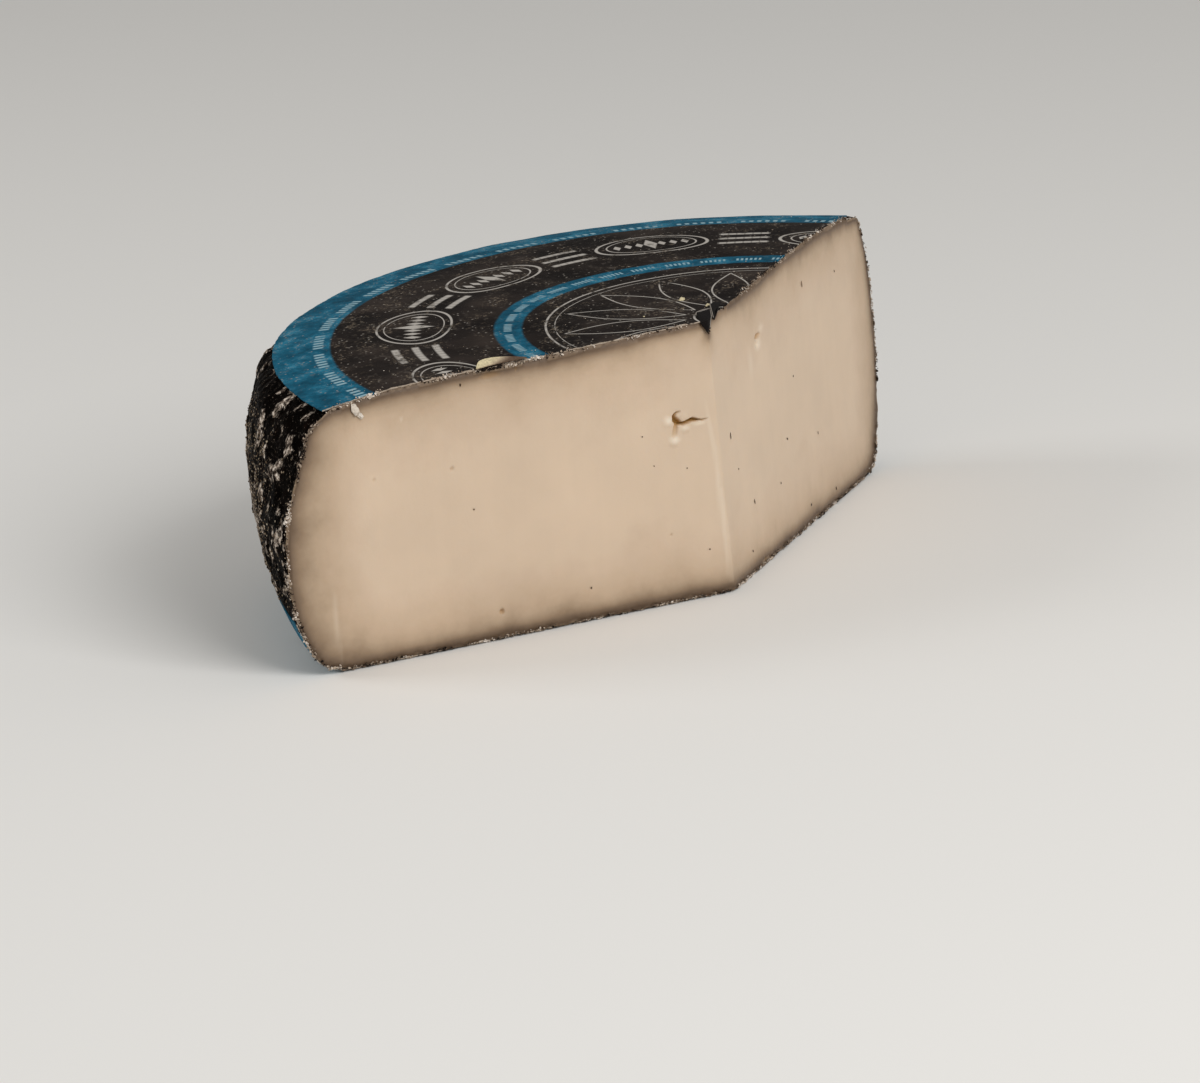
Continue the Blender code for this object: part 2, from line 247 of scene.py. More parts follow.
def makePaste():
    # firm goat's cheese, pressed and cut with a wire or long knife: a soft waxy sheen, faint
    # upright streaks from the blade, and a grey-brown zone that fades in from the rind
    material, tree, shader = newMaterial("firmGoatCheeseKnifeCut")
    place = add(tree, "ShaderNodeTexCoord").outputs["Object"]
    near = add(tree, "ShaderNodeAttribute", attribute_name="rindDistance").outputs["Fac"]
    torn = add(tree, "ShaderNodeAttribute", attribute_name="tornDepth").outputs["Fac"]
    pale = add(tree, "ShaderNodeAttribute", attribute_name="paleAndPaintedHighlight").outputs["Fac"]
    uneven = add(tree, "ShaderNodeTexNoise", {"Vector": place, "Scale": 70.0, "Detail": 4.0, "Roughness": 0.6})
    edge = add(tree, "ShaderNodeMapRange", {"Value": uneven.outputs["Fac"], "From Min": 0.3, "From Max": 0.7,
                                            "To Min": 0.7, "To Max": 1.3})
    reach = add(tree, "ShaderNodeMath", {0: near, 1: edge.outputs["Result"]}, operation="MULTIPLY")
    share = add(tree, "ShaderNodeMath", {0: reach.outputs[0], 1: paste["fadeWidth"]}, operation="DIVIDE")
    fade = setRamp(add(tree, "ShaderNodeValToRGB", {"Fac": share.outputs[0]}), paste["fade"])
    # the blade's streaks: 3 to 8 mm apart along the cut and drawn out upright
    drawn = add(tree, "ShaderNodeMapping", {"Vector": place, "Scale": (1.0, 1.0, 0.05)})
    streak = add(tree, "ShaderNodeTexNoise", {"Vector": drawn.outputs[0], "Scale": 170.0, "Detail": 3.0})
    cloud = add(tree, "ShaderNodeTexNoise", {"Vector": place, "Scale": 45.0, "Detail": 4.0})
    both = add(tree, "ShaderNodeMath", {0: streak.outputs["Fac"], 1: 0.3, 2: cloud.outputs["Fac"]},
               operation="MULTIPLY_ADD")
    shade = add(tree, "ShaderNodeMapRange", {"Value": both.outputs[0], "From Min": 0.35, "From Max": 0.95,
                                             "To Min": 0.94, "To Max": 1.06})
    toned = mixColours(tree, 1.0, fade.outputs["Color"], shade.outputs["Result"], "MULTIPLY")
    # painted highlights where light falls on raised lips and bevels, with a few pale spots of the paste
    paleAndHighlighted = mixColours(tree, pale, toned, paste["pale"])
    # the ochre inside the tear and the holes, mixed in more the deeper they are: partly the torn paste's tint, partly
    # painted shade
    inside = mixColours(tree, torn, paleAndHighlighted, paste["tornInside"])
    tree.links.new(inside, shader.inputs["Base Color"])
    # grain of the curd, under a millimetre, over the streaks
    grain = add(tree, "ShaderNodeTexNoise", {"Vector": place, "Scale": 900.0, "Detail": 2.0})
    lines = add(tree, "ShaderNodeBump", {"Height": streak.outputs["Fac"], "Strength": 0.1, "Distance": 0.001})
    pores = add(tree, "ShaderNodeBump", {"Height": grain.outputs["Fac"], "Strength": 0.12, "Distance": 0.0004,
                                         "Normal": lines.outputs[0]})
    tree.links.new(pores.outputs[0], shader.inputs["Normal"])
    shader.inputs["Roughness"].default_value = 0.5
    shader.inputs["IOR"].default_value = 1.45
    shader.inputs["Specular IOR Level"].default_value = 0.3
    shader.inputs["Subsurface Weight"].default_value = 0.15
    shader.inputs["Subsurface Radius"].default_value = (1.0, 0.7, 0.45)
    shader.inputs["Subsurface Scale"].default_value = 0.003
    return material


rind = {
    "dark": "#040302",
    "middle": "#0b0705",
    "brown": "#1c110c",
    # grey and cream mould; its brightest cream stops also stand in as painted highlights
    "mould": [(0.40, "#2b211b"), (0.48, "#7b6e63"), (0.55, "#c6b6a6"), (0.61, "#f4e7d9")],
    # painted glint colour, in place of the rind's sparkle
    "fleck": "#8c7d6f",
    "sand": [(0.0, "#5a4838"), (0.5, "#8f7a63"), (1.0, "#c3b09b")],
}


def makeRind():
    # natural rind, brushed with brine in a cave: nearly black and glossy where it is bare, with dry
    # grey and cream mould that has flaked into patches, and sandy grains away from the cut
    # its sparkle is painted: pale glint dots, and the mould's brightest tones as painted highlights
    material, tree, shader = newMaterial("naturalBlackRindBrushed")
    place = add(tree, "ShaderNodeTexCoord").outputs["Object"]
    mould = add(tree, "ShaderNodeAttribute", attribute_name="mould").outputs["Fac"]
    sandy = add(tree, "ShaderNodeAttribute", attribute_name="sandy").outputs["Fac"]
    broad = add(tree, "ShaderNodeTexNoise", {"Vector": place, "Scale": 140.0, "Detail": 6.0, "Roughness": 0.65})
    base = setRamp(add(tree, "ShaderNodeValToRGB", {"Fac": broad.outputs["Fac"]}),
                   [(0.35, rind["dark"]), (0.6, rind["middle"]), (0.75, rind["brown"])])
    fine = add(tree, "ShaderNodeTexNoise", {"Vector": place, "Scale": 520.0, "Detail": 5.0, "Roughness": 0.7})
    broken = add(tree, "ShaderNodeMath", {0: fine.outputs["Fac"], 1: -0.5}, operation="ADD")
    wider = add(tree, "ShaderNodeMath", {0: broken.outputs[0], 1: 4.6, 2: mould}, operation="MULTIPLY_ADD")
    cover = add(tree, "ShaderNodeMapRange", {"Value": wider.outputs[0], "From Min": 0.5, "From Max": 0.95}).outputs[0]
    # mould tones, whose brightest cream parts are painted highlights as well
    kinds = add(tree, "ShaderNodeTexNoise", {"Vector": place, "Scale": 800.0, "Detail": 5.0, "Roughness": 0.7})
    mouldAndHighlightColour = setRamp(add(tree, "ShaderNodeValToRGB", {"Fac": kinds.outputs["Fac"]}), rind["mould"])
    # painted glints: pale dots under half a millimetre across, nearly everywhere, standing in for the sparkle of the
    # glossy rind
    glintNoise = add(tree, "ShaderNodeTexNoise", {"Vector": place, "Scale": 1500.0, "Detail": 3.0, "Roughness": 0.6})
    fleck = add(tree, "ShaderNodeMapRange", {"Value": glintNoise.outputs["Fac"], "From Min": 0.64, "From Max": 0.72,
                                             "To Max": 0.8})
    glinted = mixColours(tree, fleck.outputs["Result"], base.outputs["Color"], rind["fleck"])
    furred = mixColours(tree, cover, glinted, mouldAndHighlightColour.outputs["Color"])
    # sandy grains: cells about 0.9 mm apart, only some of them filled
    cells = add(tree, "ShaderNodeTexVoronoi", {"Vector": place, "Scale": 1100.0})
    dots = add(tree, "ShaderNodeMapRange", {"Value": cells.outputs["Distance"], "From Min": 0.42, "From Max": 0.25})
    chances = add(tree, "ShaderNodeSeparateColor", {"Color": cells.outputs["Color"]})
    limit = add(tree, "ShaderNodeMapRange", {"Value": sandy, "To Min": 1.01, "To Max": 0.62})
    some = add(tree, "ShaderNodeMath", {0: chances.outputs["Red"], 1: limit.outputs[0]}, operation="GREATER_THAN")
    grains = add(tree, "ShaderNodeMath", {0: dots.outputs["Result"], 1: some.outputs[0]}, operation="MULTIPLY")
    sand = setRamp(add(tree, "ShaderNodeValToRGB", {"Fac": chances.outputs["Green"]}), rind["sand"])
    sanded = mixColours(tree, grains.outputs[0], furred, sand.outputs["Color"])
    tree.links.new(sanded, shader.inputs["Base Color"])
    dry = add(tree, "ShaderNodeMath", {0: cover, 1: grains.outputs[0]}, operation="MAXIMUM")
    gloss = add(tree, "ShaderNodeMapRange", {"Value": dry.outputs[0], "To Min": 0.30, "To Max": 0.85})
    tree.links.new(gloss.outputs["Result"], shader.inputs["Roughness"])
    crust = add(tree, "ShaderNodeBump", {"Height": fine.outputs["Fac"], "Strength": 0.7, "Distance": 0.0010})
    rise = add(tree, "ShaderNodeBump", {"Height": dry.outputs[0], "Strength": 0.6, "Distance": 0.0004,
                                        "Normal": crust.outputs[0]})
    tree.links.new(rise.outputs[0], shader.inputs["Normal"])
    shader.inputs["IOR"].default_value = 1.08
    shader.inputs["Specular IOR Level"].default_value = 0.05
    return material


label = {
    "black": ("#15100e", "#211b18", "#332b26"),     # dull, middling and scuffed
    "blue": ("#0c4256", "#145a73", "#30809b"),
    "rubbed": "#a1917d",
    "edge": "#b3a392",      # the bare paper along the cuts
    "ink": "#b3ada5",       # the pale lines
    "outerRing": 0.877,     # the blue rings, as shares of the label's radius
    "innerRing": (0.457, 0.518),
    "ovals": 10,            # frames round the band
    "ovalRadius": 0.697,
    "ovalSize": (0.132, 0.082),
    "line": 0.0048,
    "lozengeStep": 0.027,
    "lozenge": (0.0095, 0.020),
    "tallLozenge": (0.016, 0.046),
    "petals": 14,
    "petalSpan": (0.10, 0.37),
    "petalWidth": 0.042,
}


under = {
    # the lower label is as large as the whole underside and goes up round the corner of the rind
    "labelRadius": 0.1335,
    "climb": 0.9,            # how much of the height counts as way along the paper
    "axleHeight": 0.05,
}
crumbs = {
    "shades": [(0.0, "#120b07"), (0.36, "#2c2018"), (0.42, "#68574a"), (0.62, "#9b8977"), (0.85, "#c8b8a6"),
               (1.0, "#e0d5ca")],
    "onRim": 6500,
    "rimSize": (0.00009, 0.00026),
    "clusters": 0.007,      # the length of a stretch with more or fewer of them
    "topEdge": 0.071,       # above this height there are fewer
}
grains = {
    "shades": [(0.0, "#3a2e25"), (0.4, "#7b6955"), (0.75, "#a8967e"), (1.0, "#cfc1ab")],
    "count": 4200,
    "size": (0.00014, 0.00034),
}
specks = {
    "shades": [(0.0, "#20160e"), (1.0, "#4a3624")],
    # bits of rind that the blade dragged over the paste: cut, along, height, half length, half width, lean
    "places": [
        ("right", 9.3, 39.6, 1.1, 0.28, 0.1), ("right", 22.5, 18.3, 0.8, 0.25, 0.2), ("right", 53.8, 27.6, 0.6, 0.3, 0.9),
        ("right", 79.9, 22.8, 0.5, 0.2, 0.0), ("right", 12.7, 29.8, 0.4, 0.2, 0.4), ("right", 45.0, 17.5, 0.4, 0.25, 0.0),
        ("right", 90.7, 4.0, 0.6, 0.3, 0.3), ("right", 68.1, 5.3, 0.5, 0.3, 0.0), ("right", 17.1, 6.2, 0.5, 0.25, 0.5),
        ("right", 64.0, 42.6, 0.35, 0.2, 0.0), ("right", 107.9, 62.2, 0.4, 0.2, 0.0), ("right", 78.9, 64.9, 0.9, 0.22, 0.1),
        ("left", 6.2, 12.5, 0.3, 0.2, 0.3), ("left", 42.1, 8.6, 0.28, 0.22, 0.0), ("left", 22.4, 45.5, 0.22, 0.2, 0.0),
        ("left", 72.4, 67.4, 0.45, 0.3, 0.0), ("left", 19.9, 37.3, 0.25, 0.16, 0.5), ("left", 10.3, 35.1, 0.2, 0.17, 0.0),
        ("left", 72.8, 35.0, 0.25, 0.2, 0.2),
    ],
}


loose = {
    # lumps of the white crumb: along, height, half width, half height, half thickness in mm, and lean
    "whiteCrumb": [(102.1, 65.9, 1.0, 1.35, 0.55, 0.5), (101.0, 64.2, 0.6, 0.95, 0.4, 0.7), (102.7, 66.9, 0.5, 0.6, 0.35, 0.0)],
    "goldCrumbs": [(6.4, -41.5, 1.5), (4.9, -51.4, 1.1), (-12.1, -44.0, 0.5)],
    "onLabel": 260,
    "reach": 0.009,          # how far from the cuts most of them lie
    "crumbSize": (0.00010, 0.00026),
}
curl = {
    "from": (-72.2, -39.0, 71.25), "to": (-58.4, -43.9, 71.7),      # along the edge of the left cut, in mm
    "lean": (0.9, 1.9, 0.0), "rise": 1.25, "blunt": 0.5, "steps": 12, "thickness": 0.0004,
}


def makeLabel(name, size, climb):
    # uncoated printed paper stuck on the rind: matt charcoal ink with blue rings and pale line
    # ornaments, dusted and scuffed by storage. climb unrolls the part that goes up the rind.
    material, tree, shader = newMaterial(name)

    def number(operation, *values):
        return add(tree, "ShaderNodeMath", dict(enumerate(values)), operation=operation).outputs[0]

    def blend(share, first, second):
        return mixColours(tree, share, first, second)

    place = add(tree, "ShaderNodeTexCoord").outputs["Object"]
    centred = add(tree, "ShaderNodeMapping", {"Vector": place, "Location": -wheel["centre"]}).outputs[0]
    axes = add(tree, "ShaderNodeSeparateXYZ", {"Vector": centred})
    flat = add(tree, "ShaderNodeCombineXYZ", {"X": axes.outputs["X"], "Y": axes.outputs["Y"]})
    plain = add(tree, "ShaderNodeVectorMath", {0: flat.outputs[0]}, operation="LENGTH").outputs["Value"]
    unrolled = number("MULTIPLY_ADD", axes.outputs["Z"], climb, plain)
    radius = number("DIVIDE", unrolled, size)
    angle = number("ARCTAN2", axes.outputs["Y"], axes.outputs["X"])

    def within(value, low, high, soft=0.003):
        up = add(tree, "ShaderNodeMapRange", {"Value": value, "From Min": low - soft, "From Max": low + soft})
        down = add(tree, "ShaderNodeMapRange", {"Value": value, "From Min": high + soft, "From Max": high - soft})
        return number("MULTIPLY", up.outputs["Result"], down.outputs["Result"])

    def line(distance, width):
        # 1 where a distance is nearly nothing
        size = number("ABSOLUTE", distance)
        return add(tree, "ShaderNodeMapRange", {"Value": size, "From Min": width * 0.65,
                                                "From Max": width * 0.35}).outputs["Result"]

    def lozenge(x, y, half, tall, edge):
        # 1 inside a lozenge of these half sizes
        far = number("MULTIPLY_ADD", number("ABSOLUTE", x), 1.0 / half, number("MULTIPLY", number("ABSOLUTE", y), 1.0 / tall))
        return add(tree, "ShaderNodeMapRange", {"Value": far, "From Min": 1.0 + edge, "From Max": 1.0 - edge}).outputs[0]

    soft = 0.1
    rough = add(tree, "ShaderNodeTexNoise", {"Vector": place, "Scale": 500.0, "Detail": 4.0}).outputs["Fac"]
    wobbly = number("MULTIPLY_ADD", number("ADD", rough, -0.5), 0.006, radius)
    rings = number("MAXIMUM", within(wobbly, label["outerRing"], 2.0), within(wobbly, *label["innerRing"]))

    # frames round the band: each turn of the circle is folded onto one frame
    turn = math.tau / label["ovals"]
    folded = number("SUBTRACT", number("FLOORED_MODULO", angle, turn), turn / 2.0)
    across = number("MULTIPLY", folded, radius)
    outward = number("SUBTRACT", radius, label["ovalRadius"])
    half, rise = label["ovalSize"]
    squareA = number("POWER", number("ABSOLUTE", number("DIVIDE", across, half)), 2.0)
    squareB = number("POWER", number("ABSOLUTE", number("DIVIDE", outward, rise)), 2.0)
    oval = number("MULTIPLY", number("SUBTRACT", number("SQRT", number("ADD", squareA, squareB)), 1.0), rise)
    frames = line(oval, label["line"])
    inner = line(number("ADD", oval, 0.016), label["line"] * 0.5)
    # a row of filled lozenges in each frame, one tall one in the middle
    step = label["lozengeStep"]
    fold = number("SUBTRACT", number("FLOORED_MODULO", number("ADD", across, step / 2.0), step), step / 2.0)
    flank = lozenge(fold, outward, *label["lozenge"], soft)
    flank = number("MULTIPLY", flank, within(across, -3.5 * step, 3.5 * step))
    tall = lozenge(across, outward, *label["tallLozenge"], soft)
    flower = number("MAXIMUM", flank, tall)
    # rows of short dashes between the frames
    gapFold = number("SUBTRACT", number("FLOORED_MODULO", number("ADD", angle, turn / 2.0), turn), turn / 2.0)
    gapAcross = number("MULTIPLY", gapFold, radius)
    rows = line(number("SUBTRACT", number("FLOORED_MODULO", number("ADD", outward, 0.0225), 0.045), 0.0225), 0.015)
    rows = number("MULTIPLY", rows, within(outward, -0.068, 0.068))
    dashes = line(number("SUBTRACT", number("FLOORED_MODULO", gapAcross, 0.019), 0.0095), 0.019)
    dashes = number("MULTIPLY", number("MULTIPLY", rows, dashes), within(gapAcross, -0.058, 0.058))
    # tiny ticks along both blue rings
    ticks = line(number("SUBTRACT", number("FLOORED_MODULO", angle, 0.021), 0.0105), 0.011)
    longer = number("FLOORED_MODULO", angle, 0.168)
    ticks = number("MULTIPLY", ticks, within(longer, 0.02, 0.15, 0.001))
    ticks = number("MULTIPLY", ticks, number("MAXIMUM", within(radius, 0.892, 0.914, 0.002), within(radius, 0.48, 0.497, 0.002)))
    # the middle: two circles and a ring of long petals
    middle = number("MAXIMUM", line(number("SUBTRACT", radius, 0.405), label["line"]),
                    line(number("SUBTRACT", radius, 0.385), label["line"] * 0.4))
    petalTurn = math.tau / label["petals"]
    petalFold = number("SUBTRACT", number("FLOORED_MODULO", angle, petalTurn), petalTurn / 2.0)
    petalAcross = number("ABSOLUTE", number("MULTIPLY", petalFold, radius))
    low, high = label["petalSpan"]
    share = number("MULTIPLY_ADD", radius, math.pi / (high - low), -math.pi * low / (high - low))
    width = number("MULTIPLY", number("SINE", share), label["petalWidth"])
    petals = line(number("SUBTRACT", petalAcross, width), label["line"] * 0.8)
    petals = number("MULTIPLY", petals, within(radius, low, high))
    hub = line(number("SUBTRACT", radius, low * 0.8), label["line"])

    ink = frames
    for more in (inner, flower, dashes, middle, petals, hub):
        ink = number("MAXIMUM", ink, more)
    # the ink is worn off here and there
    scuff = add(tree, "ShaderNodeTexNoise", {"Vector": place, "Scale": 130.0, "Detail": 6.0, "Roughness": 0.75}).outputs["Fac"]
    worn = add(tree, "ShaderNodeMapRange", {"Value": scuff, "From Min": 0.66, "From Max": 0.54}).outputs["Result"]
    ink = number("MULTIPLY", ink, worn)
    ticks = number("MULTIPLY", ticks, worn)

    cloud = add(tree, "ShaderNodeTexNoise", {"Vector": place, "Scale": 60.0, "Detail": 5.0}).outputs["Fac"]
    blackInk = setRamp(add(tree, "ShaderNodeValToRGB", {"Fac": cloud}),
                       list(zip((0.35, 0.5, 0.68), label["black"]))).outputs["Color"]
    blueInk = setRamp(add(tree, "ShaderNodeValToRGB", {"Fac": scuff}),
                      list(zip((0.35, 0.5, 0.68), label["blue"]))).outputs["Color"]
    printed = blend(rings, blackInk, blueInk)
    printed = blend(ink, printed, label["ink"])
    printed = blend(ticks, printed, "#8fb0ba")
    # pale dust and scuffs: fine specks, thicker in some parts
    specks = add(tree, "ShaderNodeTexVoronoi", {"Vector": place, "Scale": 900.0})
    dot = add(tree, "ShaderNodeMapRange", {"Value": specks.outputs["Distance"], "From Min": 0.30, "From Max": 0.18})
    pick = add(tree, "ShaderNodeSeparateColor", {"Color": specks.outputs["Color"]}).outputs["Red"]
    dense = add(tree, "ShaderNodeMapRange", {"Value": scuff, "From Min": 0.42, "From Max": 0.62,
                                             "To Min": 0.975, "To Max": 0.66}).outputs["Result"]
    dust = number("MULTIPLY", dot.outputs["Result"], number("GREATER_THAN", pick, dense))
    printed = blend(number("MULTIPLY", dust, 0.75), printed, "#9d968d")
    fibre = add(tree, "ShaderNodeMapRange", {"Value": rough, "From Min": 0.60, "From Max": 0.75,
                                             "To Max": 0.35}).outputs["Result"]
    printed = blend(fibre, printed, "#6f675f")
    # rubbed patches, speckled by the roughness of the paper
    rubbed = add(tree, "ShaderNodeMapRange", {"Value": scuff, "From Min": 0.5, "From Max": 0.68}).outputs["Result"]
    speckled = add(tree, "ShaderNodeTexNoise", {"Vector": place, "Scale": 1100.0, "Detail": 3.0, "Roughness": 0.7})
    patchy = add(tree, "ShaderNodeMapRange", {"Value": speckled.outputs["Fac"], "From Min": 0.52, "From Max": 0.66,
                                              "To Max": 0.75}).outputs["Result"]
    printed = blend(number("MULTIPLY", rubbed, patchy), printed, label["rubbed"])
    # along the cuts the paper shows its pale fibres
    cut = add(tree, "ShaderNodeAttribute", attribute_name="cutEdge").outputs["Fac"]
    frayed = number("MULTIPLY_ADD", number("ADD", rough, -0.5), 1.6, cut)
    bareEdge = add(tree, "ShaderNodeMapRange", {"Value": frayed, "From Min": 0.62, "From Max": 0.85,
                                                "To Max": 0.85}).outputs["Result"]
    printed = blend(bareEdge, printed, label["edge"])
    tree.links.new(printed, shader.inputs["Base Color"])
    waves = add(tree, "ShaderNodeBump", {"Height": cloud, "Strength": 0.3, "Distance": 0.002})
    paper = add(tree, "ShaderNodeBump", {"Height": rough, "Strength": 0.35, "Distance": 0.0004,
                                         "Normal": waves.outputs[0]})
    tree.links.new(paper.outputs[0], shader.inputs["Normal"])
    shader.inputs["Roughness"].default_value = 0.62
    shader.inputs["IOR"].default_value = 1.3
    shader.inputs["Specular IOR Level"].default_value = 0.08
    return material


def makeCrumb(name, stops, roughness):
    # broken crumbs of paste and rind: dry, and each its own shade
    material, tree, shader = newMaterial(name)
    place = add(tree, "ShaderNodeTexCoord").outputs["Object"]
    tint = add(tree, "ShaderNodeAttribute", attribute_name="tint").outputs["Fac"]
    shade = setRamp(add(tree, "ShaderNodeValToRGB", {"Fac": tint}), stops)
    speck = add(tree, "ShaderNodeTexNoise", {"Vector": place, "Scale": 1500.0, "Detail": 3.0})
    dull = add(tree, "ShaderNodeMapRange", {"Value": speck.outputs["Fac"], "From Min": 0.3, "From Max": 0.7,
                                            "To Min": 0.75, "To Max": 1.15})
    toned = mixColours(tree, 1.0, shade.outputs["Color"], dull.outputs["Result"], "MULTIPLY")
    tree.links.new(toned, shader.inputs["Base Color"])
    bump = add(tree, "ShaderNodeBump", {"Height": speck.outputs["Fac"], "Strength": 0.4, "Distance": 0.0003})
    tree.links.new(bump.outputs[0], shader.inputs["Normal"])
    shader.inputs["Roughness"].default_value = roughness
    shader.inputs["Specular IOR Level"].default_value = 0.15
    return material


pasteMaterial = makePaste()
rindMaterial = makeRind()
labelMaterial = makeLabel("uncoatedPrintedPaper", wheel["labelRadius"], 0.0)
underMaterial = makeLabel("uncoatedPrintedPaperUnder", under["labelRadius"], under["climb"])
crumbMaterial = makeCrumb("cheeseCrumbsDry", crumbs["shades"], 0.7)
grainMaterial = makeCrumb("rindSandDry", grains["shades"], 0.8)
speckMaterial = makeCrumb("rindSpecksDragged", specks["shades"], 0.6)
whiteMaterial = makeCrumb("whiteCrumbDry", [(0.0, "#b5a795"), (1.0, "#ddd3c6")], 0.6)
# for the curl the dark stops are painted shade and the palest a painted highlight; the gold crumbs take the palest as
# their own colour
curlMaterial = makeCrumb("pasteCurlPaintedShade", [(0.0, "#5c4a3c"), (0.35, "#8f7d69"), (0.7, "#c3b394"), (1.0, "#d3c5a0")], 0.45)
flapMaterial = makeCrumb("printedPaperTorn", [(0.0, "#0e0907"), (1.0, "#0e0907")], 0.8)
fibreMaterial = makeCrumb("paperFibresTorn", [(0.0, "#8f877e"), (1.0, "#8f877e")], 0.8)
print("materials made")


# The cheese: the frame's solid with its cuts closed afresh, meshed evenly, then roughened and torn
cheese = {
    "lift": 0.0005,          # the rind fills the space up to the labels
    "footLift": 0.0006,
    "underReach": 0.0150,    # height on the rind that the lower label reaches
    "lumps": (0.014, 0.0016),
    "crust": (0.0045, 0.0010),
    "pits": (0.0020, 0.0005),
    "mouldSize": Vector((0.0046, 0.0046, 0.0074)),
    "mouldRise": 0.0003,
    "rimJitter": 0.00035,
}
tear = {
    # strokes of the tear on the left cut: along, height, half width, depth, all in mm
    "strokes": [
        [(10.4, 50.2, 0.15, 0.5), (11.6, 50.0, 0.35, 1.0), (12.4, 49.3, 0.5, 1.6), (12.2, 48.3, 0.85, 2.0),
         (11.2, 47.4, 0.8, 2.0)],
        [(11.9, 47.2, 0.5, 2.0), (9.9, 46.9, 0.45, 2.0), (8.4, 47.2, 0.55, 2.1), (7.0, 47.5, 0.62, 2.1),
         (5.6, 47.2, 0.34, 1.6), (4.0, 46.9, 0.2, 1.0), (2.3, 47.2, 0.12, 0.5)],
        [(12.0, 46.9, 0.6, 1.1), (12.3, 45.8, 0.85, 0.62), (12.6, 44.9, 0.95, 0.45), (12.9, 44.3, 0.9, 0.3)],
    ],
    # swellings round it: along, height, radius, how far they stand out
    "swells": [(14.6, 48.2, 2.0, 0.42), (9.5, 45.6, 1.8, 0.3), (13.3, 42.6, 1.9, 0.4), (9.6, 48.7, 1.5, 0.2)],
    "window": (0.5, 17.5, 39.0, 53.0),
}
marks = [
    # small holes and dents in the paste: cut, along, height, radius across, radius up, depth, in mm
    ("right", 38.6, 59.7, 2.5, 0.8, 1.9), ("right", 37.2, 58.0, 1.6, 1.2, 0.5), ("left", 77.5, 46.4, 0.7, 0.7, 0.5),
    ("left", 68.3, 7.1, 0.8, 0.9, 0.9), ("left", 99.4, 47.3, 0.5, 0.5, 0.4), ("left", 72.8, 35.0, 0.4, 0.3, 0.2),
    ("right", 78.9, 64.9, 0.45, 0.9, 0.5), ("left", 17.1, 18.3, 0.5, 0.4, 0.4), ("left", 42.1, 8.6, 0.35, 0.35, 0.2),
    ("right", 26.6, 0.9, 0.9, 1.2, 0.6), ("left", 63.6, 68.4, 3.6, 1.1, 0.45), ("left", 56.2, 68.9, 0.5, 0.9, 0.4),
]
# painted highlights where light falls on the lips round the tear and below a hole, and a few pale spots of the paste
paleSpotsAndHighlights = [
    # cut, along, height, radius across, radius up, all in mm, and how pale
    ("left", 14.3, 48.2, 2.2, 1.8, 0.7), ("left", 12.9, 43.0, 2.6, 1.6, 0.7), ("left", 9.6, 45.7, 2.4, 1.0, 0.5),
    ("left", 5.0, 46.2, 3.0, 0.8, 0.5), ("right", 38.0, 57.6, 4.2, 2.4, 0.65),
    ("right", 42.0, 61.2, 3.4, 1.8, 0.4), ("right", 31.0, 54.0, 3.0, 6.0, 0.25), ("left", 114.6, 14.0, 0.9, 14.0, 0.2),
    ("left", 92.0, 62.0, 0.8, 0.6, 0.5), ("left", 90.0, 61.4, 0.6, 0.5, 0.4),
]
# painted highlight on the bevel beside the ridge between the cuts: along the left cut, height, half width in mm, and
# how pale
ridgePaintedHighlight = [(2.6, 52.0, 0.5, 0.05), (2.2, 46.0, 0.8, 0.2), (1.5, 38.0, 0.9, 0.2), (1.2, 30.0, 1.0, 0.3),
              (1.0, 15.0, 1.1, 0.3), (0.8, 3.0, 1.0, 0.18)]

flakes = [
    # the larger patches of mould by the left cut: heading in degrees, height, half width and half height in mm
    (156.2, 57.5, 2.6, 2.8), (153.6, 50.0, 3.6, 2.8), (149.4, 43.0, 2.6, 2.0), (145.0, 31.5, 3.2, 4.4),
    (156.9, 64.8, 1.5, 1.3), (149.2, 67.0, 2.2, 4.2), (159.0, 69.2, 1.8, 1.0), (145.0, 56.0, 2.6, 4.2),
    (152.6, 28.5, 1.3, 2.6), (149.2, 52.7, 1.8, 1.6), (152.8, 40.8, 1.1, 1.7),
]

body = copyOf("cheese", "cheeseBody")
for side in ("left", "right"):
    pickFaces(body, lambda face: all(abs(onFace(side, body.data.vertices[i].co)[2]) < 0.00015 for i in face.vertices))
    bpy.ops.mesh.delete(type="FACE")
    bpy.ops.mesh.select_all(action="SELECT")
    bpy.ops.mesh.fill_holes(sides=0)
    closeMesh()
# what is left of the tear and the holes now hangs loose, and goes
openMesh(body, "VERT")
closeMesh()
highest = max(body.data.vertices, key=lambda vertex: vertex.co.y)
highest.select = True
bpy.ops.object.mode_set(mode="EDIT")
bpy.ops.mesh.select_linked()
bpy.ops.mesh.select_all(action="INVERT")
bpy.ops.mesh.delete(type="VERT")
bpy.ops.mesh.select_mode(type="EDGE")
bpy.ops.mesh.select_all(action="DESELECT")
bpy.ops.mesh.edges_select_sharp(sharpness=math.radians(30.0))
bpy.ops.transform.edge_crease(value=1.0)
bpy.ops.mesh.select_all(action="SELECT")
bpy.ops.mesh.tris_convert_to_quads(face_threshold=math.radians(20.0), shape_threshold=math.radians(40.0))
closeMesh()
finishWith(body, "SUBSURF", levels=2, render_levels=2, boundary_smooth="PRESERVE_CORNERS")
finishWith(body, "REMESH", mode="SHARP", octree_depth=8, scale=0.9, sharpness=1.0, use_smooth_shade=True)


def isPaste(face):
    return face.normal.y < -0.5 and abs(face.normal.z) < 0.6


def nearMark(face):
    if not isPaste(face):
        return False
    for side, along, height, across, up, _ in marks:
        spot = onFace(side, face.center)
        if abs(spot[2]) < 0.001 and abs(spot[0] * 1000.0 - along) < across + 1.5 and abs(spot[1] * 1000.0 - height) < up + 1.5:
            return True
    return False


